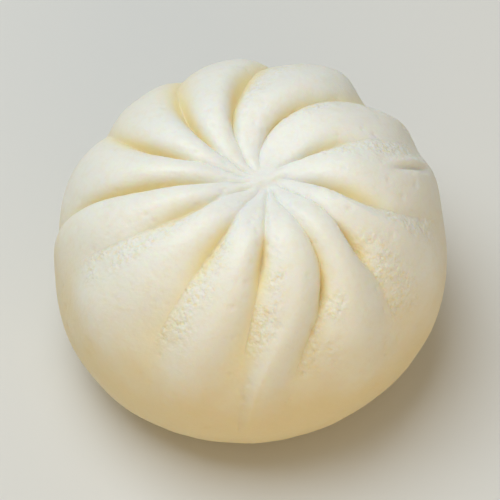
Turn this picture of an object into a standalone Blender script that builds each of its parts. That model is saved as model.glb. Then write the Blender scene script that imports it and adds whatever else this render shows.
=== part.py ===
"""Steamed bun: one closed piece of soft dough, pleated by hand around a small twisted knot on top.

Run with  blender --background --python part.py  or from Blender's text editor.
Frame: metres, +Z up, origin at the middle of the flat foot that the bun rests on.
Azimuth 0 points along +X and turns anticlockwise seen from above; the front of the bun faces -Y.
Arc is the length measured over the skin, from the knot outwards and down to the foot.
"""

import math
from collections import namedtuple

import bmesh
import bpy
import numpy as np

# Body, a round loaf that is widest below its middle
HALF_WIDTH = 0.0407
WIDEST_HEIGHT = 0.0243
CROWN_RISE = 0.0353
CROWN_SQUARENESS = 2.2
SKIRT_SQUARENESS = 2.2
FOOT_RADIUS = 0.0230

# The hollow that the pleats sink into, and the lip of the knot in the middle of it
HOLLOW_DEPTH = 0.0066
HOLLOW_RADIUS = 0.0125
KNOT_X = 0.0022
KNOT_Y = -0.0026
KNOT_TWIST = math.radians(10)
TWIST_ARC = 0.0080
LIP_HEIGHT = 0.0011
LIP_AZIMUTH = math.radians(-63)
LIP_AHEAD = 0.0012
LIP_EDGE = 0.0010
LIP_REACH = 0.0045

# The arcs at which the table of pleats names its azimuths; beyond them a pleat soon runs straight
KNOT_ARC = 0.0070
SHOULDER_ARC = 0.0410
INNER_BEND = 0.12
OUTER_BEND = 0.25

# A crease: a shallow groove from the knot on, then a wedge that opens quickly and closes slowly
GROOVE = 0.0006
GROOVE_START = 0.0022
GROOVE_FULL = 0.0048
OPENING = 0.0025
DEEPEST = 0.35
NARROW = 0.0005
WIDENING = 0.0160
BOTTOM = 0.20

# A fold: the broad soft valley between two lobes, which dies out down the side
FOLD_START = 0.0080
FOLD_FULL = 0.0280
FOLD_HOLD = 0.0400
FOLD_END = 0.0740
FOLD_SOFTENING = 0.0160
PLUMP_START = 0.0150

# The body is a touch oval and a touch three-cornered
OVAL = 0.017
OVAL_AZIMUTH = math.radians(53)
TRIANGLE = 0.012
TRIANGLE_AZIMUTH = math.radians(-15)

# A last small tuck across the broad lobe on the right
TUCK_START = (math.radians(6), 0.0270)
TUCK_END = (math.radians(18), 0.0450)
TUCK_DEPTH = 0.0008
TUCK_HALF_WIDTH = 0.0016

# Mesh
OUTLINE_STEPS = 600
HALF_COLUMNS = 5
CROWDING = 0.45
CROWN_RINGS = 27
SKIRT_RINGS = 9
MERGE_DISTANCE = 0.000001
LEAST_WIDTH = 0.00001

# One line for each pleat, anticlockwise: azimuth in degrees of its valley at the knot, half way and at the
# shoulder, and the same for the crest of the lobe that follows it; depth of the crease, arcs where it opens and
# closes, its half width, depth of the fold, and how much plumper the lobe is than its neighbours.
Pleat = namedtuple("Pleat", "valley crest crease opens closes width fold plump")
PLEATS = [
    Pleat((35, 24, 25), (68, 40, 35), 0.0024, 0.007, 0.027, 0.0020, 0.0008, 0.0),
    Pleat((96, 58, 48), (114, 72, 63), 0.0022, 0.007, 0.027, 0.0018, 0.0026, 0.0006),
    Pleat((132, 101, 85), (148, 112, 98), 0.0022, 0.010, 0.034, 0.0015, 0.0030, -0.0009),
    Pleat((158, 137, 118), (169, 154, 133), 0.0024, 0.010, 0.036, 0.0012, 0.0034, -0.0013),
    Pleat((177, 168, 154), (188, 183, 171), 0.0020, 0.015, 0.042, 0.0009, 0.0027, -0.0002),
    Pleat((197, 192, 186), (209, 206, 195), 0.0019, 0.009, 0.054, 0.0008, 0.0020, 0.0),
    Pleat((219, 216, 207), (235, 231, 222), 0.0019, 0.011, 0.033, 0.0019, 0.0013, 0.0),
    Pleat((246, 246, 243), (264, 263, 257), 0.0019, 0.012, 0.034, 0.0019, 0.0022, 0.0),
    Pleat((275, 274, 271), (285, 291, 282), 0.0017, 0.017, 0.033, 0.0012, 0.0028, 0.0002),
    Pleat((296, 304, 294), (306, 312, 309), 0.0018, 0.029, 0.040, 0.0012, 0.0026, 0.0),
    Pleat((326, 323, 322), (338, 338, 341), 0.0022, 0.022, 0.038, 0.0012, 0.0016, 0.0),
    Pleat((354, 346, 356), (378, 366, 374), 0.0030, 0.007, 0.034, 0.0018, 0.0014, 0.0),
]
LOBES = len(PLEATS)
COLUMNS = 2 * HALF_COLUMNS * LOBES

Ring = namedtuple("Ring", "arc radius height out_radial out_height")


def smoothstep(low, high, value):
    """Runs smoothly from 0 at low to 1 at high."""
    share = min(max((value - low) / (high - low), 0.0), 1.0)
    return share * share * (3.0 - 2.0 * share)


def remove_scene_objects():
    for thing in list(bpy.data.objects):
        bpy.data.objects.remove(thing, do_unlink=True)


def outline():
    """Radius and height of the skin over the lobes' crests, finely, from the knot to the foot."""
    angle = np.linspace(0.0, math.pi / 2, OUTLINE_STEPS)
    radius = HALF_WIDTH * np.sin(angle) ** (2 / CROWN_SQUARENESS)
    height = WIDEST_HEIGHT + CROWN_RISE * np.cos(angle) ** (2 / CROWN_SQUARENESS)
    height -= HOLLOW_DEPTH * np.exp(-((radius / HOLLOW_RADIUS) ** 2))
    overhang = HALF_WIDTH - FOOT_RADIUS
    skirt_radius = FOOT_RADIUS + overhang * np.cos(angle) ** (2 / SKIRT_SQUARENESS)
    skirt_height = WIDEST_HEIGHT * (1.0 - np.sin(angle) ** (2 / SKIRT_SQUARENESS))
    return np.append(radius, skirt_radius[1:]), np.append(height, skirt_height[1:])


def make_rings():
    """The rings of the mesh, evenly spaced over the crown and over the skirt, with the way out of the skin."""
    line_radius, line_height = outline()
    steps = np.hypot(np.diff(line_radius), np.diff(line_height))
    line_arc = np.append(0.0, np.cumsum(steps))
    widest = line_arc[int(np.argmax(line_radius))]
    crown = np.linspace(0.0, widest, CROWN_RINGS + 1)
    skirt = np.linspace(widest, line_arc[-1], SKIRT_RINGS + 1)
    arc = np.append(crown, skirt[1:])
    radius = np.interp(arc, line_arc, line_radius)
    height = np.interp(arc, line_arc, line_height)
    along, down = np.gradient(radius, arc), -np.gradient(height, arc)
    span = np.hypot(along, down)
    rows = zip(arc, radius, height, down / span, along / span)
    return [Ring(*(float(value) for value in row)) for row in rows]


def way_out(arc):
    """0 at the knot and 1 at the shoulder; it levels off softly a little before and after them."""
    out = (arc - KNOT_ARC) / (SHOULDER_ARC - KNOT_ARC)
    if out < 0.0:
        return INNER_BEND * (math.exp(out / INNER_BEND) - 1.0)
    if out > 1.0:
        return 1.0 + OUTER_BEND * (1.0 - math.exp(-(out - 1.0) / OUTER_BEND))
    return out


def line_azimuth(line, arc):
    """Where a valley or a crest runs at this arc: a smooth bend through its three azimuths."""
    knot, half, shoulder = line
    out = way_out(arc)
    bend = 2 * half - (knot + shoulder) / 2
    return math.radians(knot * (1 - out) ** 2 + 2 * bend * out * (1 - out) + shoulder * out ** 2)


def valley_azimuth(index, arc):
    """Valleys past the last one go round once more."""
    turns, index = divmod(index, LOBES)
    return line_azimuth(PLEATS[index].valley, arc) + turns * math.tau


def crease_depth(pleat, arc):
    groove = GROOVE * smoothstep(GROOVE_START, GROOVE_FULL, arc)
    groove *= 1.0 - smoothstep(pleat.opens, pleat.closes, arc)
    opened = smoothstep(pleat.opens - OPENING, pleat.opens + 2 * OPENING, arc)
    turn = pleat.opens + (pleat.closes - pleat.opens) * DEEPEST
    return groove + pleat.crease * opened * (1.0 - smoothstep(turn, pleat.closes, arc))


def crease_fall(pleat, away, half_width, arc):
    """1 in the crease, falling to 0 on the crest; the crease is a wedge that widens outwards."""
    width = NARROW + (pleat.width - NARROW) * smoothstep(pleat.opens, pleat.opens + WIDENING, arc)
    rounded = math.hypot(away, BOTTOM * width) - BOTTOM * width
    far = math.exp(-half_width / width)
    return (math.exp(-rounded / width) - far) / (1.0 - far)


def fold_depth(pleat, arc):
    rise = smoothstep(FOLD_START, FOLD_FULL, arc)
    return pleat.fold * rise * (1.0 - smoothstep(FOLD_HOLD, FOLD_END, arc))


def fold_fall(pleat, share, arc):
    """1 in the valley and 0 on the crest; sharp beside the crease, rolling beyond its end."""
    sharp = share ** 2
    rolling = 0.5 - 0.5 * math.cos(math.pi * share)
    return sharp + (rolling - sharp) * smoothstep(pleat.closes, pleat.closes + FOLD_SOFTENING, arc)


def lobe_rise(lobe, share, arc):
    """How far a plump lobe stands out, most on its crest at the shoulder."""
    along = smoothstep(PLUMP_START, SHOULDER_ARC, arc) * (1.0 - smoothstep(SHOULDER_ARC, FOLD_END, arc))
    return PLEATS[lobe].plump * along * (0.5 + 0.5 * math.cos(math.pi * share))


def tuck_drop(azimuth, arc, radius):
    """The groove of the small tuck, which runs aslant from TUCK_START to TUCK_END."""
    (azimuth_0, arc_0), (azimuth_1, arc_1) = TUCK_START, TUCK_END
    share = (arc - arc_0) / (arc_1 - arc_0)
    if not 0.0 < share < 1.0:
        return 0.0
    middle = azimuth_0 + (azimuth_1 - azimuth_0) * share
    off = math.remainder(azimuth - middle, math.tau) * radius / TUCK_HALF_WIDTH
    return TUCK_DEPTH * math.sin(math.pi * share) * math.exp(-off * off)


def body_swell(azimuth):
    """The slow unevenness of the body, as a factor on its radius."""
    oval = OVAL * math.cos(2 * (azimuth - OVAL_AZIMUTH))
    return 1.0 + oval + TRIANGLE * math.cos(3 * (azimuth - TRIANGLE_AZIMUTH))


def lip_rise(along_x, along_y):
    """The lip of the knot: high behind its edge, low in the pit before it."""
    ahead = along_x * math.cos(LIP_AZIMUTH) + along_y * math.sin(LIP_AZIMUTH)
    near = math.exp(-((math.hypot(along_x, along_y) / LIP_REACH) ** 2))
    return -LIP_HEIGHT / 2 * math.tanh((ahead - LIP_AHEAD) / LIP_EDGE) * near


def skin_point(column, ring):
    """The place on the pleated skin of one column of one ring."""
    lobe, step = divmod(column, 2 * HALF_COLUMNS)
    side = int(step > HALF_COLUMNS)
    pleat = PLEATS[(lobe + side) % LOBES]
    even = abs(step - HALF_COLUMNS) / HALF_COLUMNS
    share = even + CROWDING * even * (1.0 - even)
    valley = valley_azimuth(lobe + side, ring.arc)
    crest = line_azimuth(PLEATS[lobe].crest, ring.arc)
    half_width = abs(valley - crest) * ring.radius + LEAST_WIDTH
    azimuth = crest + (valley - crest) * share
    azimuth += KNOT_TWIST * (1.0 - smoothstep(0.0, TWIST_ARC, ring.arc))
    away = (1.0 - share) * half_width
    drop = crease_depth(pleat, ring.arc) * crease_fall(pleat, away, half_width, ring.arc)
    drop += fold_depth(pleat, ring.arc) * fold_fall(pleat, share, ring.arc)
    drop += tuck_drop(azimuth, ring.arc, ring.radius) - lobe_rise(lobe, share, ring.arc)
    radius = ring.radius * body_swell(azimuth) - drop * ring.out_radial
    along_x, along_y = radius * math.cos(azimuth), radius * math.sin(azimuth)
    height = ring.height - drop * ring.out_height + lip_rise(along_x, along_y)
    off_centre = 1.0 - smoothstep(0.0, SHOULDER_ARC, ring.arc)
    return along_x + KNOT_X * off_centre, along_y + KNOT_Y * off_centre, height


def spin_outline(rings):
    """The plain round body, spun from its outline; each corner remembers its ring."""
    bm = bmesh.new()
    ring_of = bm.verts.layers.int.new("ring")
    corners = []
    for number, ring in enumerate(rings):
        corner = bm.verts.new((ring.radius, 0.0, ring.height))
        corner[ring_of] = number
        corners.append(corner)
    for above, below in zip(corners, corners[1:]):
        bm.edges.new((above, below))
    bmesh.ops.spin(
        bm,
        geom=bm.verts[:] + bm.edges[:],
        axis=(0.0, 0.0, 1.0),
        cent=(0.0, 0.0, 0.0),
        angle=math.tau,
        steps=COLUMNS,
        use_merge=True,
    )
    bmesh.ops.remove_doubles(bm, verts=bm.verts[:], dist=MERGE_DISTANCE)
    return bm, ring_of


def pleat_body(bm, ring_of, rings):
    """Moves every corner of the round body to its place on the pleated skin."""
    for corner in bm.verts:
        azimuth = math.atan2(corner.co.y, corner.co.x) % math.tau
        column = round(azimuth / math.tau * COLUMNS) % COLUMNS
        corner.co = skin_point(column, rings[corner[ring_of]])


def close_foot(bm):
    """The flat foot, one face across the last ring."""
    open_edges = [edge for edge in bm.edges if edge.is_boundary]
    bmesh.ops.edgeloop_fill(bm, edges=open_edges)
    bmesh.ops.recalc_face_normals(bm, faces=bm.faces[:])


def dough():
    """White steamed wheat dough, with a soft satin skin."""
    material = bpy.data.materials.new("steamed_dough")
    material.use_nodes = True
    shader = material.node_tree.nodes["Principled BSDF"]
    shader.inputs["Base Color"].default_value = (0.80, 0.77, 0.67, 1.0)
    shader.inputs["Roughness"].default_value = 0.5
    shader.inputs["Metallic"].default_value = 0.0
    return material


def make_bun():
    rings = make_rings()
    bm, ring_of = spin_outline(rings)
    pleat_body(bm, ring_of, rings)
    close_foot(bm)
    mesh = bpy.data.meshes.new("bun")
    bm.to_mesh(mesh)
    bm.free()
    mesh.shade_smooth()
    mesh.materials.append(dough())
    bun = bpy.data.objects.new("bun", mesh)
    bpy.context.scene.collection.objects.link(bun)
    return bun


remove_scene_objects()
make_bun()
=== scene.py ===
# %% [markdown]
# # A pleated steamed bun
#
# The object is one steamed bun of white wheat dough. A baker rolls the dough into a round sheet, lays it over
# the filling, and gathers the edge into pleats that are pinched and twisted shut on top. In the steamer the
# dough swells, so each pleat becomes a plump lobe, and the creases between the lobes stay narrow and deep.
#
# The CAD model already has the true form with few faces. This script makes the skin: the same bun with fine
# faces, pores, the rough patches where the dough was torn, and the soft, slightly see-through finish.

import math
import random
from collections import namedtuple

import bmesh
import bpy
import numpy as np
from mathutils import Matrix, Vector, kdtree, noise


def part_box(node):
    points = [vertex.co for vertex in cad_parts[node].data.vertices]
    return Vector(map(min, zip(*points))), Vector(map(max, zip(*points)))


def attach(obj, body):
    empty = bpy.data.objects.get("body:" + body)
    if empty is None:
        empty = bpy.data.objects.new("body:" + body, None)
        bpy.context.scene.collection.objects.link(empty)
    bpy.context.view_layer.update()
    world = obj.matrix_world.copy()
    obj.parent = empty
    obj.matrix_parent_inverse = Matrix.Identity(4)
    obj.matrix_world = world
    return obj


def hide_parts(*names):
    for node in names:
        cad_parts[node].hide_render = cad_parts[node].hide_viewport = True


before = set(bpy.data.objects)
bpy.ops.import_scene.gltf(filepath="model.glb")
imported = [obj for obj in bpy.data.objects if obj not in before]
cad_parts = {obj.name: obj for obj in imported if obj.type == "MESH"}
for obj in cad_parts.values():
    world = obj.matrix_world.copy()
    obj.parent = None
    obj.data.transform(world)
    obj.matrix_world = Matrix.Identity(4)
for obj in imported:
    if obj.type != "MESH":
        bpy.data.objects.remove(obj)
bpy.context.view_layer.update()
low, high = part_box("bun")
print("the bun in the frame, mm:", [round(1000 * side, 1) for side in high - low])

# %% [markdown]
# ## The camera
#
# Buns are looked at from above, the way they lie in a steamer on the table: 55 degrees above the table, from
# the front. A long lens from two thirds of a metre keeps the bun's round shape true. The camera is a few
# degrees off level, as a camera held in the hand is.

# %% Aim the camera
CAMERA_HEIGHT_ANGLE = math.radians(55.15)
CAMERA_TILT = math.radians(3.0)
CAMERA_DISTANCE = 0.72
PICTURE_WIDTH = 0.1030
AIM_SHARE = 0.43
CLIP_START = 0.01
aim = Vector((0.0, 0.0, AIM_SHARE * high.z))


def aim_camera():
    toward = Vector((0.0, -math.cos(CAMERA_HEIGHT_ANGLE), math.sin(CAMERA_HEIGHT_ANGLE)))
    level = Vector((1.0, 0.0, 0.0))
    upward = toward.cross(level)
    right = level * math.cos(CAMERA_TILT) + upward * math.sin(CAMERA_TILT)
    camera = bpy.data.objects.new("camera", bpy.data.cameras.new("camera"))
    turn = Matrix((right, toward.cross(right), toward)).transposed().to_4x4()
    camera.matrix_world = Matrix.Translation(aim + toward * CAMERA_DISTANCE) @ turn
    camera.data.lens = camera.data.sensor_width * CAMERA_DISTANCE / PICTURE_WIDTH
    camera.data.clip_start = CLIP_START
    bpy.context.scene.collection.objects.link(camera)
    bpy.context.scene.camera = camera
    return camera


camera = aim_camera()
bpy.context.scene.view_settings.view_transform = "Standard"
print("lens", round(camera.data.lens), "mm")

# %% [markdown]
# ## Light and floor
#
# White dough shows its shape only through soft shade. One wide, slightly cool lamp hangs high over the bun's
# left side, like a window. A dim warm lamp low in front and to the right stands in for the light that a
# bamboo steamer throws back, and a pale sky fills the rest. The floor is a plain pale board.

# %% Set the lamps
KEY_PLACE = Vector((-0.30, 0.12, 1.00))
KEY_POWER = 8.2
KEY_SIZE = 0.75
KEY_COLOUR = (0.88, 0.95, 1.0)
WARM_PLACE = Vector((0.27, -0.82, 0.27))
WARM_POWER = 2.9
WARM_SIZE = 0.80
WARM_COLOUR = (1.0, 0.75, 0.42)
SKY_COLOUR = (1.0, 0.91, 0.76, 1.0)
SKY_STRENGTH = 0.28


def add_lamp(name, place, power, size, colour):
    data = bpy.data.lights.new(name, "AREA")
    data.energy, data.size, data.color = power, size, colour
    lamp = bpy.data.objects.new(name, data)
    lamp.location = place
    lamp.rotation_euler = (aim - place).to_track_quat("-Z", "Y").to_euler()
    bpy.context.scene.collection.objects.link(lamp)
    print(name, power, "W,", round((aim - place).length, 2), "m from the bun")


add_lamp("window_light", KEY_PLACE, KEY_POWER, KEY_SIZE, KEY_COLOUR)
add_lamp("warm_bounce", WARM_PLACE, WARM_POWER, WARM_SIZE, WARM_COLOUR)

# %% Fill the sky
sky = bpy.data.worlds.new("pale_sky")
sky.use_nodes = True
background = sky.node_tree.nodes["Background"]
background.inputs["Color"].default_value = SKY_COLOUR
background.inputs["Strength"].default_value = SKY_STRENGTH
bpy.context.scene.world = sky
print("sky strength", SKY_STRENGTH)

# %% Lay the floor
FLOOR_HALF = 1.5
FLOOR_DROP = 0.0002
FLOOR_COLOUR = (0.71, 0.71, 0.69, 1.0)
FLOOR_ROUGHNESS = 0.8


def lay_floor():
    bm = bmesh.new()
    bmesh.ops.create_grid(bm, x_segments=1, y_segments=1, size=FLOOR_HALF)
    mesh = bpy.data.meshes.new("floor")
    bm.to_mesh(mesh)
    bm.free()
    floor = bpy.data.objects.new("floor", mesh)
    bpy.context.scene.collection.objects.link(floor)
    material = bpy.data.materials.new("pale_board")
    material.use_nodes = True
    shader = material.node_tree.nodes["Principled BSDF"]
    shader.inputs["Base Color"].default_value = FLOOR_COLOUR
    shader.inputs["Roughness"].default_value = FLOOR_ROUGHNESS
    mesh.materials.append(material)
    return floor


floor = lay_floor()
floor.location.z = -FLOOR_DROP
print("floor", 2 * FLOOR_HALF, "m wide")

# %% [markdown]
# ## The plain round body
#
# Before the pleats, the bun is a body of revolution: a domed crown over a rounded skirt, on a flat foot.
# Both are superellipses, which are circles whose squareness can be set. The crown sinks into a wide shallow
# hollow, because the pleats are pulled together there.
#
# Every place on the skin is named by two numbers: its arc, the distance walked over the skin from the knot,
# and its azimuth, the direction seen from above. All pleats are described in those two numbers.

# %% Draw the outline
HALF_WIDTH = 0.0407
WIDEST_HEIGHT = 0.0243
CROWN_RISE = 0.0353
CROWN_SQUARENESS = 2.2
SKIRT_SQUARENESS = 2.2
FOOT_RADIUS = 0.0230
HOLLOW_DEPTH = 0.0066
HOLLOW_RADIUS = 0.0125
OUTLINE_STEPS = 2000


def outline():
    """Radius and height of the skin over the lobes' crests, finely, from the knot to the foot."""
    angle = np.linspace(0.0, math.pi / 2, OUTLINE_STEPS)
    radius = HALF_WIDTH * np.sin(angle) ** (2 / CROWN_SQUARENESS)
    height = WIDEST_HEIGHT + CROWN_RISE * np.cos(angle) ** (2 / CROWN_SQUARENESS)
    height -= HOLLOW_DEPTH * np.exp(-((radius / HOLLOW_RADIUS) ** 2))
    overhang = HALF_WIDTH - FOOT_RADIUS
    skirt_radius = FOOT_RADIUS + overhang * np.cos(angle) ** (2 / SKIRT_SQUARENESS)
    skirt_height = WIDEST_HEIGHT * (1.0 - np.sin(angle) ** (2 / SKIRT_SQUARENESS))
    return np.append(radius, skirt_radius[1:]), np.append(height, skirt_height[1:])


line_radius, line_height = outline()
line_arc = np.append(0.0, np.cumsum(np.hypot(np.diff(line_radius), np.diff(line_height))))
widest_arc = line_arc[int(np.argmax(line_radius))]
foot_arc = line_arc[-1]
print("arc to the widest ring, mm:", round(1000 * widest_arc, 1), "to the foot:", round(1000 * foot_arc, 1))

# %% Space the rings
CROWN_RINGS = 136
SKIRT_RINGS = 46

ring_arc = np.concatenate([
    np.linspace(0.0, widest_arc, CROWN_RINGS + 1),
    np.linspace(widest_arc, foot_arc, SKIRT_RINGS + 1)[1:],
])
ring_radius = np.interp(ring_arc, line_arc, line_radius)
ring_height = np.interp(ring_arc, line_arc, line_height)
slope_radius = np.gradient(ring_radius, ring_arc)
slope_height = np.gradient(ring_height, ring_arc)
out_radial, out_height = -slope_height, slope_radius
print(len(ring_arc), "rings")

# %% [markdown]
# ## The pleats
#
# Twelve pleats run from the knot over the shoulder. No two are alike, so each has its own line in a table. It
# gives the azimuth of the valley at the knot, half way out and at the shoulder, and the same for the crest of
# the lobe that follows it. Then come the depth of the crease, the arcs where it opens and closes, its half
# width, and the depth of the soft fold that carries on below it. The last two numbers say which side of the
# valley was torn by the pinching (1 for the side after it, -1 for the side before it, 0 for neither) and how
# much plumper the lobe is than its neighbours. A lobe leans over where its crest is nearer to one valley than
# to the other, as a fold does that was pinched from one side.
#
# The mesh follows the pleats: a lobe always has the same number of columns between its two valleys, wherever
# these run. So each crease lies along an edge loop, and stays crisp without wasting faces.

# %% The table of pleats
Pleat = namedtuple("Pleat", "valley crest crease opens closes width fold torn plump")
PLEATS = [
    Pleat((35, 24, 25), (68, 40, 35), 0.0024, 0.007, 0.027, 0.0020, 0.0008, -1, 0.0),
    Pleat((96, 58, 48), (114, 72, 63), 0.0022, 0.007, 0.027, 0.0018, 0.0026, -1, 0.0006),
    Pleat((132, 101, 85), (148, 112, 98), 0.0022, 0.010, 0.034, 0.0015, 0.0030, -1, -0.0009),
    Pleat((158, 137, 118), (169, 154, 133), 0.0024, 0.010, 0.036, 0.0012, 0.0034, 0, -0.0013),
    Pleat((177, 168, 154), (188, 183, 171), 0.0020, 0.015, 0.042, 0.0009, 0.0027, 0, -0.0002),
    Pleat((197, 192, 186), (209, 206, 195), 0.0019, 0.009, 0.054, 0.0008, 0.0020, 0, 0.0),
    Pleat((219, 216, 207), (235, 231, 222), 0.0019, 0.011, 0.033, 0.0019, 0.0013, 1, 0.0),
    Pleat((246, 246, 243), (264, 263, 257), 0.0019, 0.012, 0.034, 0.0019, 0.0022, 1, 0.0),
    Pleat((275, 274, 271), (285, 291, 282), 0.0017, 0.017, 0.033, 0.0012, 0.0028, 1, 0.0002),
    Pleat((296, 304, 294), (306, 312, 309), 0.0018, 0.029, 0.040, 0.0012, 0.0026, 1, 0.0),
    Pleat((326, 323, 322), (338, 338, 341), 0.0022, 0.022, 0.038, 0.0012, 0.0016, 1, 0.0),
    Pleat((354, 346, 356), (378, 366, 374), 0.0030, 0.007, 0.034, 0.0018, 0.0014, -1, 0.0),
]
LOBES = len(PLEATS)
valleys = [line.valley for line in PLEATS]
crests = [line.crest for line in PLEATS]
crease, opens, closes, wide, fold, torn, plump = np.array([line[2:] for line in PLEATS]).T
print(LOBES, "pleats, the deepest crease", 1000 * crease.max(), "mm")

# %% Where the valleys and crests run
KNOT_ARC = 0.0070
SHOULDER_ARC = 0.0410
INNER_BEND = 0.12
OUTER_BEND = 0.25


def smoothstep(start, stop, value):
    """Runs smoothly from 0 at start to 1 at stop."""
    share = np.clip((value - start) / (stop - start), 0.0, 1.0)
    return share * share * (3.0 - 2.0 * share)


def way_out(arc):
    """0 at the knot and 1 at the shoulder; it levels off softly a little before and after them."""
    out = (arc - KNOT_ARC) / (SHOULDER_ARC - KNOT_ARC)
    inner = INNER_BEND * (np.exp(np.minimum(out, 0.0) / INNER_BEND) - 1.0)
    outer = 1.0 + OUTER_BEND * (1.0 - np.exp(-np.maximum(out - 1.0, 0.0) / OUTER_BEND))
    return np.where(out < 0.0, inner, np.where(out > 1.0, outer, out))


def line_azimuth(lines, index, arc):
    """Where a valley or a crest runs at this arc; past the last one they go round once more."""
    turns, one = np.divmod(index, LOBES)
    knot, half, shoulder = np.moveaxis(np.array(lines)[one], -1, 0)
    out = way_out(arc)
    bend = 2 * half - (knot + shoulder) / 2
    azimuth = knot * (1 - out) ** 2 + 2 * bend * out * (1 - out) + shoulder * out**2
    return np.radians(azimuth + 360.0 * turns)


at_rim = np.degrees(line_azimuth(valleys, np.arange(LOBES), SHOULDER_ARC))
print("valleys at the shoulder, degrees:", np.round(at_rim).astype(int).tolist())

# %% How deep a valley is along its length
GROOVE = 0.0006
GROOVE_START = 0.0022
GROOVE_FULL = 0.0048
OPENING = 0.0025
DEEPEST = 0.35
FOLD_START = 0.0080
FOLD_FULL = 0.0280
FOLD_HOLD = 0.0400
FOLD_END = 0.0740


def crease_depth(index, arc):
    """A shallow groove from the knot on, and the deep crease, which opens quickly and closes slowly."""
    one = index % LOBES
    groove_end = 1.0 - smoothstep(opens[one], closes[one], arc)
    groove = GROOVE * smoothstep(GROOVE_START, GROOVE_FULL, arc) * groove_end
    opened = smoothstep(opens[one] - OPENING, opens[one] + 2 * OPENING, arc)
    turn = opens[one] + (closes[one] - opens[one]) * DEEPEST
    closed = smoothstep(turn, closes[one], arc)
    return groove + crease[one] * opened * (1.0 - closed)


def fold_depth(index, arc):
    """The broad soft fold, deepest at the shoulder and gone just above the foot."""
    rise = smoothstep(FOLD_START, FOLD_FULL, arc)
    return fold[index % LOBES] * rise * (1.0 - smoothstep(FOLD_HOLD, FOLD_END, arc))


every = np.arange(LOBES)
at_shoulder = crease_depth(every, SHOULDER_ARC) + fold_depth(every, SHOULDER_ARC)
print("valleys at the shoulder, mm deep:", np.round(1000 * at_shoulder, 1).tolist())

# %% The shape across a lobe
NARROW = 0.0005
WIDENING = 0.0160
BOTTOM = 0.20
FOLD_SOFTENING = 0.0160
PLUMP_START = 0.0150


def crease_fall(index, away, half_width, arc):
    """1 in the crease, falling to 0 on the crest; the crease is a wedge that widens outwards."""
    one = index % LOBES
    width = NARROW + (wide[one] - NARROW) * smoothstep(opens[one], opens[one] + WIDENING, arc)
    rounded = np.sqrt(away**2 + (BOTTOM * width) ** 2) - BOTTOM * width
    far = np.exp(-half_width / width)
    return (np.exp(-rounded / width) - far) / (1.0 - far)


def lobe_rise(lobe, share, arc):
    """How far a plump lobe stands out, most on its crest at the shoulder."""
    along = smoothstep(PLUMP_START, SHOULDER_ARC, arc) * (1.0 - smoothstep(SHOULDER_ARC, FOLD_END, arc))
    return plump[lobe] * along * (0.5 + 0.5 * np.cos(math.pi * share))


def lobe_drop(lobe, half, share, half_width, arc):
    """Depth of the skin below the crests, at a share of the way from the crest down to the valley."""
    valley = lobe + half
    fall = crease_fall(valley, (1.0 - share) * half_width, half_width, arc)
    rolling = 0.5 - 0.5 * np.cos(math.pi * share)
    ended = smoothstep(closes[valley % LOBES], closes[valley % LOBES] + FOLD_SOFTENING, arc)
    across = share**2 + (rolling - share**2) * ended
    return crease_depth(valley, arc) * fall + fold_depth(valley, arc) * across


beside = crease_fall(every, 0.001, 0.006, SHOULDER_ARC)
print("share of a crease's depth left 1 mm beside it:", np.round(beside, 2).tolist())

# %% [markdown]
# ## The knot, the tuck and the uneven body
#
# The knot is a little off the middle. The pleats from the back turn in on each other and end in a lip that
# lies over a small pit. On the right one broad lobe has a short tuck across it. And a bun swells unevenly, so
# the body is a touch oval and a touch three-cornered.

# %% Knot, tuck and swell
KNOT_X = 0.0022
KNOT_Y = -0.0026
KNOT_TWIST = math.radians(10)
TWIST_ARC = 0.0080
TUCK_START = (math.radians(6), 0.0270)
TUCK_END = (math.radians(18), 0.0450)
TUCK_DEPTH = 0.0011
TUCK_HALF_WIDTH = 0.0008
ROLL_SHARE = 0.5
ROLL_AWAY = 1.8
OVAL, OVAL_AZIMUTH = 0.017, math.radians(53)
TRIANGLE, TRIANGLE_AZIMUTH = 0.012, math.radians(-15)
LIP_HEIGHT = 0.0011
LIP_DIRECTION = Vector((0.45, -0.89))
LIP_AHEAD = 0.0012
LIP_EDGE = 0.0006
LIP_REACH = 0.0045


def tuck_drop(azimuth, arc, radius):
    """A short groove aslant, and the soft roll of skin on its far side."""
    (azimuth_0, arc_0), (azimuth_1, arc_1) = TUCK_START, TUCK_END
    share = np.clip((arc - arc_0) / (arc_1 - arc_0), 0.0, 1.0)
    middle = azimuth_0 + (azimuth_1 - azimuth_0) * share
    turn = (azimuth - middle + math.pi) % math.tau - math.pi
    off = turn * radius / TUCK_HALF_WIDTH
    groove = np.exp(-off * off)
    roll = ROLL_SHARE * np.exp(-((off - ROLL_AWAY) ** 2) / 2)
    return TUCK_DEPTH * np.sin(math.pi * share) * (groove - roll)


def body_swell(azimuth):
    """The slow unevenness of the body, as a factor on its radius."""
    oval = OVAL * np.cos(2 * (azimuth - OVAL_AZIMUTH))
    return 1.0 + oval + TRIANGLE * np.cos(3 * (azimuth - TRIANGLE_AZIMUTH))


def lip_rise(x, y):
    """The lip of the knot: high behind its edge, low in the pit before it."""
    ahead = x * LIP_DIRECTION.x + y * LIP_DIRECTION.y
    near = np.exp(-(x * x + y * y) / LIP_REACH**2)
    return -LIP_HEIGHT / 2 * np.tanh((ahead - LIP_AHEAD) / LIP_EDGE) * near


eighths = np.radians(np.arange(0, 360, 45))
print("half width by azimuth, mm:", np.round(1000 * HALF_WIDTH * body_swell(eighths), 1).tolist())

# %% [markdown]
# ## Spin the body and press in the pleats
#
# A turned shape is best made by spinning its outline: the spin operator makes all faces at once, in even
# columns. Each corner remembers which ring it came from, so afterwards every corner can be moved to its own
# place on the pleated skin. Columns stand closer together near the valleys, where the skin bends most.

# %% Work out the pleated skin
LOBE_COLUMNS = 40
HALF_COLUMNS = LOBE_COLUMNS // 2
COLUMNS = LOBE_COLUMNS * LOBES
CROWDING = 0.45
YELLOWEST_DEPTH = 0.0045
LEAST_HALF_WIDTH = 0.00001

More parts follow.
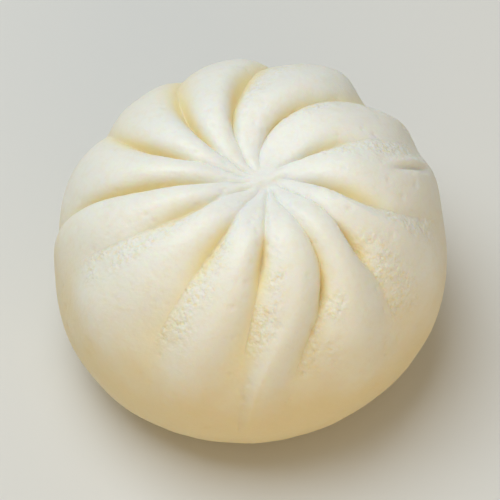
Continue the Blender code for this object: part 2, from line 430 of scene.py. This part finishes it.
column = np.arange(COLUMNS)[None, :]
arc = ring_arc[:, None]
lobe, step = np.divmod(column, LOBE_COLUMNS)
half = (step > HALF_COLUMNS).astype(int)
even = np.abs(step - HALF_COLUMNS) / HALF_COLUMNS
share = even + CROWDING * even * (1.0 - even)
valley_turn = line_azimuth(valleys, lobe + half, arc)
crest_turn = line_azimuth(crests, lobe, arc)
azimuth = crest_turn + (valley_turn - crest_turn) * share
azimuth = azimuth + KNOT_TWIST * (1.0 - smoothstep(0.0, TWIST_ARC, arc))
half_width = np.abs(valley_turn - crest_turn) * ring_radius[:, None] + LEAST_HALF_WIDTH
drop = lobe_drop(lobe, half, share, half_width, arc) - lobe_rise(lobe, share, arc)
depth_in = drop + tuck_drop(azimuth, arc, ring_radius[:, None])
radius = ring_radius[:, None] * body_swell(azimuth) - depth_in * out_radial[:, None]
skin_x, skin_y = radius * np.cos(azimuth), radius * np.sin(azimuth)
skin_z = ring_height[:, None] - depth_in * out_height[:, None] + lip_rise(skin_x, skin_y)
off_centre = 1.0 - smoothstep(0.0, SHOULDER_ARC, arc)
skin = np.stack([skin_x + KNOT_X * off_centre, skin_y + KNOT_Y * off_centre, skin_z], axis=-1)
# The valley mask, the depth of the skin below the crests, sets where the crease glow is painted into the base
# colour.
crease_glow_mask = np.clip(drop / YELLOWEST_DEPTH, 0.0, 1.0)
print("deepest crease", round(1000 * float(depth_in.max()), 2), "mm")

# %% Spin the outline
MERGE_DISTANCE = 0.000001


def spin_body():
    bm = bmesh.new()
    ring_of = bm.verts.layers.int.new("ring")
    corners = []
    for number in range(len(ring_arc)):
        corner = bm.verts.new((ring_radius[number], 0.0, ring_height[number]))
        corner[ring_of] = number
        corners.append(corner)
    for above, below in zip(corners, corners[1:]):
        bm.edges.new((above, below))
    line = bm.verts[:] + bm.edges[:]
    axis = (0.0, 0.0, 1.0)
    bmesh.ops.spin(bm, geom=line, axis=axis, cent=(0, 0, 0), angle=math.tau, steps=COLUMNS, use_merge=True)
    top = [corner for corner in bm.verts if corner[ring_of] == 0]
    bmesh.ops.remove_doubles(bm, verts=top, dist=MERGE_DISTANCE)
    return bm


bun_bm = spin_body()
print(len(bun_bm.verts), "corners,", len(bun_bm.faces), "faces")

# %% Press in the pleats
ring_of = bun_bm.verts.layers.int["ring"]
column_of = bun_bm.verts.layers.int.new("column")
for corner in bun_bm.verts:
    turn = math.atan2(corner.co.y, corner.co.x) % math.tau
    corner[column_of] = round(turn / math.tau * COLUMNS) % COLUMNS
for corner in bun_bm.verts:
    corner.co = skin[corner[ring_of], corner[column_of]]
bmesh.ops.recalc_face_normals(bun_bm, faces=bun_bm.faces[:])
bun_bm.normal_update()
print("width with pleats, mm:", round(1000 * float(np.ptp(skin[..., 0])), 1))

# %% [markdown]
# ## The skin
#
# Seen close up, steamed dough is never smooth. Three things are added as real relief, by moving each corner
# along its own normal: soft lumps a centimetre across where gas gathered, a fine grain, and pits. One flank
# of most valleys was pulled apart as the pleats were pinched, so it is torn into small pits and crumbs, while
# the lobes stay smooth with a few single pores.

# %% Where the dough was torn
TORN_FROM = 0.0020
TORN_BEYOND = 0.0150
TORN_EDGE = 0.0070
TORN_SHARE = (0.15, 0.60)


def torn_skin():
    """1 in the middle of a torn flank, 0 on smooth skin, for every ring and column."""
    valley = (lobe + half) % LOBES
    side = np.where(half == 0, torn[valley] > 0, torn[valley] < 0)
    first, last = opens[valley] + TORN_FROM, closes[valley] + TORN_BEYOND
    window = smoothstep(first, first + TORN_EDGE, arc)
    window = window * (1.0 - smoothstep(last - TORN_EDGE, last, arc))
    return side * window * smoothstep(*TORN_SHARE, share)


torn_mask = torn_skin()
print("torn share of the skin:", round(float((torn_mask > 0.5).mean()), 3))

# %% Mark every corner
PATCH_SIZE = 0.0055
PATCH_RANGE = (-0.55, 0.05)
torn_of = bun_bm.verts.layers.float.new("torn")
# The valley layer keeps the mask for the painted crease glow.
crease_glow_of = bun_bm.verts.layers.float.new("valley")
for corner in bun_bm.verts:
    ring, place = corner[ring_of], corner[column_of]
    patch = float(smoothstep(*PATCH_RANGE, noise.noise(corner.co / PATCH_SIZE)))
    corner[torn_of] = float(torn_mask[ring, place]) * patch
    corner[crease_glow_of] = float(crease_glow_mask[ring, place])
print("torn corners:", sum(corner[torn_of] > 0.5 for corner in bun_bm.verts))

# %% Scatter the lone pores
PORES = 420
PORE_RADIUS = (0.00028, 0.00060)
PORE_DEPTH = 0.55
PORE_FROM = 0.0080
draw = random.Random(12)


def scatter_pores():
    """Places and sizes of the single pores that any steamed bun has here and there."""
    first, last = PORE_FROM, foot_arc - PORE_FROM
    pool = [corner for corner in bun_bm.verts if first < ring_arc[corner[ring_of]] < last]
    return [(corner.co.copy(), draw.uniform(*PORE_RADIUS)) for corner in draw.sample(pool, PORES)]


pores = scatter_pores()
tree = kdtree.KDTree(len(pores))
for number, (place, size) in enumerate(pores):
    tree.insert(place, number)
tree.balance()
print(len(pores), "pores")

# %% Move the skin
LUMP_SIZE, LUMP_HEIGHT = 0.0120, 0.00028
RIPPLE_SIZE, RIPPLE_HEIGHT = 0.0040, 0.00008
GRAIN_SIZE, GRAIN_HEIGHT = 0.0011, 0.000035
PIT_SIZE, PIT_DEPTH = 0.00110, 0.00022
PIT_RANGE = (0.02, 0.42)
CRUMB_SIZE, CRUMB_HEIGHT = 0.00080, 0.00011
FOOT_REST = 0.0040


def pore_depth(place):
    """How far the pores around a place press it in."""
    deepest = 0.0
    for _, number, away in tree.find_range(place, 2.0 * PORE_RADIUS[1]):
        size = pores[number][1]
        deepest = max(deepest, PORE_DEPTH * size * math.exp(-((away / size) ** 2)))
    return deepest


def torn_relief(place):
    """Small pits with crumbs between them."""
    pit = float(smoothstep(*PIT_RANGE, noise.noise(place / PIT_SIZE)))
    return CRUMB_HEIGHT * noise.noise(place / CRUMB_SIZE) - PIT_DEPTH * pit


def skin_relief(corner):
    relief = LUMP_HEIGHT * noise.noise(corner.co / LUMP_SIZE)
    relief += RIPPLE_HEIGHT * noise.noise(corner.co / RIPPLE_SIZE)
    relief += GRAIN_HEIGHT * noise.noise(corner.co / GRAIN_SIZE)
    if corner[torn_of] > 0.01:
        relief += torn_relief(corner.co) * corner[torn_of]
    settled = float(smoothstep(foot_arc, foot_arc - FOOT_REST, ring_arc[corner[ring_of]]))
    return (relief - pore_depth(corner.co)) * settled


moves = [corner.normal * skin_relief(corner) for corner in bun_bm.verts]
for corner, move in zip(bun_bm.verts, moves):
    corner.co += move
print("largest move", round(1000 * max(move.length for move in moves), 2), "mm")

# %% [markdown]
# ## The foot
#
# Underneath, the bun sets flat on the mat it is steamed on. The open ring is closed with one face, and insets
# give it rings of its own. They rise a little towards the middle, because the foot dries and draws up there,
# so the bun rests on the rim of its foot.

# %% Close the foot
FOOT_RINGS = 6
FOOT_INSET = 0.0030
FOOT_RISE = 0.00012


def close_foot():
    rim = [edge for edge in bun_bm.edges if edge.is_boundary]
    filled = bmesh.ops.edgeloop_fill(bun_bm, edges=rim)["faces"]
    for _ in range(FOOT_RINGS):
        bmesh.ops.inset_region(bun_bm, faces=filled, thickness=FOOT_INSET, depth=-FOOT_RISE)
    bmesh.ops.triangulate(bun_bm, faces=filled)


close_foot()
bmesh.ops.recalc_face_normals(bun_bm, faces=bun_bm.faces[:])
open_edges = sum(not edge.is_manifold for edge in bun_bm.edges)
lowest = min(corner.co.z for corner in bun_bm.verts)
print("open edges:", open_edges, "lowest point, mm:", round(1000 * lowest, 3))

# %% [markdown]
# ## The finish of steamed dough
#
# Steamed dough is white with a breath of ivory, and light goes a few millimetres into it. That is why its
# shade is soft and its creases glow yellow. The base colour also has light and shade painted into it. Three
# things make the finish:
#
# - the base colour: cream over the lobes with faint blotches, and painted light over it: whiter round the
#   knot where the lamp falls, ivory low down (partly the dough's own tone, partly painted warm shade),
#   butter yellow painted in the creases as their glow, and light and dark flecks where the skin is torn
#   (painted glints on the crumbs and painted shade in the pits);
# - subsurface scattering, which carries red light further than blue;
# - a satin skin, whose roughness varies, with a fine grain and pores as bump, stronger where it is torn.
#
# The masks for the creases and for the torn skin were stored on the corners of the mesh, so the material
# reads them as attributes and they follow the pleats.

# %% Helpers for nodes


class Nodes:
    """Adds nodes to a material and links them, so that the finish reads as a recipe."""

    def __init__(self, material):
        material.use_nodes = True
        self.tree = material.node_tree
        self.shader = self.tree.nodes["Principled BSDF"]

    def add(self, kind, settings=(), **inputs):
        node = self.tree.nodes.new(kind)
        for name, value in dict(settings).items():
            setattr(node, name, value)
        for name, value in inputs.items():
            self.feed(node.inputs[name.replace("_", " ")], value)
        return node

    def feed(self, socket, value):
        if isinstance(value, bpy.types.NodeSocket):
            self.tree.links.new(value, socket)
        else:
            socket.default_value = value

    def noise(self, place, scale, **inputs):
        return self.add("ShaderNodeTexNoise", Vector=place, Scale=scale, **inputs).outputs["Fac"]

    def math(self, operation, first, second=0.0):
        node = self.tree.nodes.new("ShaderNodeMath")
        node.operation = operation
        self.feed(node.inputs[0], first)
        self.feed(node.inputs[1], second)
        return node.outputs[0]

    def mix(self, factor, first, second):
        node = self.tree.nodes.new("ShaderNodeMix")
        node.data_type = "RGBA"
        self.feed(node.inputs[0], factor)
        self.feed(node.inputs[6], first)
        self.feed(node.inputs[7], second)
        return node.outputs[2]

    def ramp(self, value, start, stop):
        """0 below start, 1 above stop, smooth between."""
        node = self.add("ShaderNodeMapRange", {"interpolation_type": "SMOOTHSTEP"}, Value=value)
        node.inputs["From Min"].default_value = start
        node.inputs["From Max"].default_value = stop
        return node.outputs["Result"]


print("helpers:", [name for name in vars(Nodes) if not name.startswith("_")])

# %% The colours of the dough and of the painted light
PAINTED_TOP_LIGHT_WHITE = (0.860, 0.870, 0.830, 1.0)
CREAM = (0.860, 0.855, 0.775, 1.0)
IVORY_TONE_AND_LOW_SHADE = (0.795, 0.665, 0.385, 1.0)
PAINTED_GLOW_BUTTER = (0.895, 0.765, 0.400, 1.0)
GLINT_WHITE = (0.920, 0.910, 0.820, 1.0)
WHITE_TO_CREAM = (0.008, 0.042)
CREAM_TO_IVORY_AND_SHADE = (0.045, 0.018)
BUTTER_RANGE, BUTTER_SHARE = (0.12, 0.80), 0.75
BLOTCH_SCALE, BLOTCH_SPREAD = 90.0, 0.020
MOTTLE_SCALE, MOTTLE_RANGE, MOTTLE_SHARE = 520.0, (0.56, 0.32), 0.13
FLECK_SCALE, FLECK_SHARE = 1000.0, 0.40
BRIGHT_RANGE, DIM_RANGE = (0.50, 0.66), (0.48, 0.34)


def dough_colour_with_painted_light(nodes, place, valley, torn_part):
    """Cream dough with painted light: whiter at the knot, ivory low down partly as painted warm shade, butter
    painted in the creases as their glow, and painted glints and pit shade where torn.
    """
    flat = nodes.add("ShaderNodeVectorMath", {"operation": "MULTIPLY"})
    nodes.feed(flat.inputs[0], place)
    flat.inputs[1].default_value = (1.0, 1.0, 0.0)
    away = nodes.add("ShaderNodeVectorMath", {"operation": "LENGTH"})
    nodes.feed(away.inputs[0], flat.outputs[0])
    height = nodes.add("ShaderNodeSeparateXYZ", Vector=place).outputs["Z"]
    blotch = nodes.noise(place, BLOTCH_SCALE, Detail=3.0)
    spread = nodes.math("MULTIPLY", nodes.math("SUBTRACT", blotch, 0.5), BLOTCH_SPREAD)
    # The white round the knot is painted light: the top, where the cool lamp falls most, is made whiter than
    # the cream lobes.
    outward = nodes.ramp(nodes.math("ADD", away.outputs["Value"], spread), *WHITE_TO_CREAM)
    # Ivory low down is partly the dough's own yellower skirt and partly painted warm shade, standing in for
    # the warm, dim light on the lower sides.
    low_down = nodes.ramp(nodes.math("ADD", height, spread), *CREAM_TO_IVORY_AND_SHADE)
    colour = nodes.mix(low_down, nodes.mix(outward, PAINTED_TOP_LIGHT_WHITE, CREAM), IVORY_TONE_AND_LOW_SHADE)
    # Butter yellow in the creases is painted crease glow: the yellow of light bounced and scattered in them,
    # strongest where the skin lies deepest.
    deep = nodes.math("MULTIPLY", nodes.ramp(valley, *BUTTER_RANGE), BUTTER_SHARE)
    colour = nodes.mix(deep, colour, PAINTED_GLOW_BUTTER)
    mottle = nodes.noise(place, MOTTLE_SCALE, Detail=4.0, Roughness=0.65)
    mottled = nodes.math("MULTIPLY", nodes.ramp(mottle, *MOTTLE_RANGE), MOTTLE_SHARE)
    colour = nodes.mix(mottled, colour, IVORY_TONE_AND_LOW_SHADE)
    # Where the skin is torn, the light flecks are painted glints on the crumbs and the dim flecks are painted
    # shade in the pits.
    flecks = nodes.noise(place, FLECK_SCALE, Detail=3.0)
    crumb_glints = nodes.math("MULTIPLY", nodes.ramp(flecks, *BRIGHT_RANGE), FLECK_SHARE)
    crumb_glints = nodes.math("MULTIPLY", torn_part, crumb_glints)
    dim = nodes.math("MULTIPLY", nodes.ramp(flecks, *DIM_RANGE), FLECK_SHARE)
    dim = nodes.math("MULTIPLY", torn_part, dim)
    return nodes.mix(crumb_glints, nodes.mix(dim, colour, PAINTED_GLOW_BUTTER), GLINT_WHITE)


print("cream", CREAM[:3], "ivory", IVORY_TONE_AND_LOW_SHADE[:3], "butter", PAINTED_GLOW_BUTTER[:3])

# %% The grain of the dough
GRAIN_SCALE, GRAIN_SHARE, TORN_GRAIN = 1100.0, 0.80, 2.2
CELL_SCALE, CELL_RANGE, CELL_SHARE, TORN_CELLS = 800.0, (0.42, 0.05), 0.10, 0.8
BUMP_DISTANCE, BUMP_STRENGTH = 0.00022, 0.8


def dough_bump(nodes, place, torn_part):
    """Fine grain all over, and pores that are deeper on torn skin."""
    grain = nodes.noise(place, GRAIN_SCALE, Detail=3.0)
    cells = nodes.add("ShaderNodeTexVoronoi", Vector=place, Scale=CELL_SCALE).outputs["Distance"]
    pore = nodes.ramp(cells, *CELL_RANGE)
    rough = nodes.math("ADD", nodes.math("MULTIPLY", torn_part, TORN_GRAIN), GRAIN_SHARE)
    open_skin = nodes.math("ADD", nodes.math("MULTIPLY", torn_part, TORN_CELLS), CELL_SHARE)
    crumbs = nodes.math("MULTIPLY", grain, rough)
    height = nodes.math("SUBTRACT", crumbs, nodes.math("MULTIPLY", pore, open_skin))
    bump = nodes.add("ShaderNodeBump", Height=height, Distance=BUMP_DISTANCE, Strength=BUMP_STRENGTH)
    return bump.outputs["Normal"]


print("bump, mm deep:", round(1000 * BUMP_DISTANCE, 2))

# %% The dough
SATIN_SCALE, SATIN_SPREAD, SATIN_LEAST, TORN_DULL = 260.0, 0.16, 0.40, 0.15
SCATTER_WEIGHT = 0.75
SCATTER_RADIUS = (1.0, 0.72, 0.42)
SCATTER_SCALE = 0.0036
SPECULAR = 0.45


def make_dough():
    material = bpy.data.materials.new("steamed_dough")
    nodes = Nodes(material)
    place = nodes.add("ShaderNodeTexCoord").outputs["Object"]
    # The valley attribute drives the painted crease glow.
    valley = nodes.add("ShaderNodeAttribute", {"attribute_name": "valley"}).outputs["Fac"]
    torn_part = nodes.add("ShaderNodeAttribute", {"attribute_name": "torn"}).outputs["Fac"]
    patches = nodes.noise(place, SATIN_SCALE, Detail=2.0)
    satin = nodes.math("ADD", nodes.math("MULTIPLY", patches, SATIN_SPREAD), SATIN_LEAST)
    dull = nodes.math("ADD", satin, nodes.math("MULTIPLY", torn_part, TORN_DULL))
    shader = nodes.shader.inputs
    nodes.feed(shader["Base Color"], dough_colour_with_painted_light(nodes, place, valley, torn_part))
    nodes.feed(shader["Roughness"], dull)
    nodes.feed(shader["Normal"], dough_bump(nodes, place, torn_part))
    shader["Subsurface Weight"].default_value = SCATTER_WEIGHT
    shader["Subsurface Radius"].default_value = SCATTER_RADIUS
    shader["Subsurface Scale"].default_value = SCATTER_SCALE
    shader["Specular IOR Level"].default_value = SPECULAR
    print(material.name, "has", len(nodes.tree.nodes), "nodes")
    return material


# %% Make the bun


def make_bun():
    mesh = bpy.data.meshes.new("steamed_bun")
    bun_bm.to_mesh(mesh)
    bun_bm.free()
    mesh.shade_smooth()
    mesh.materials.append(make_dough())
    bun = bpy.data.objects.new("steamed_bun", mesh)
    bpy.context.scene.collection.objects.link(bun)
    return bun


bun = make_bun()
triangles = sum(len(face.vertices) - 2 for face in bun.data.polygons)
print("steamed_bun:", triangles, "triangles")

# %% Put the bun in the frame
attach(bun, "root")
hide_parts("bun")
print(bun.name, "rides on root and stands for the node bun")
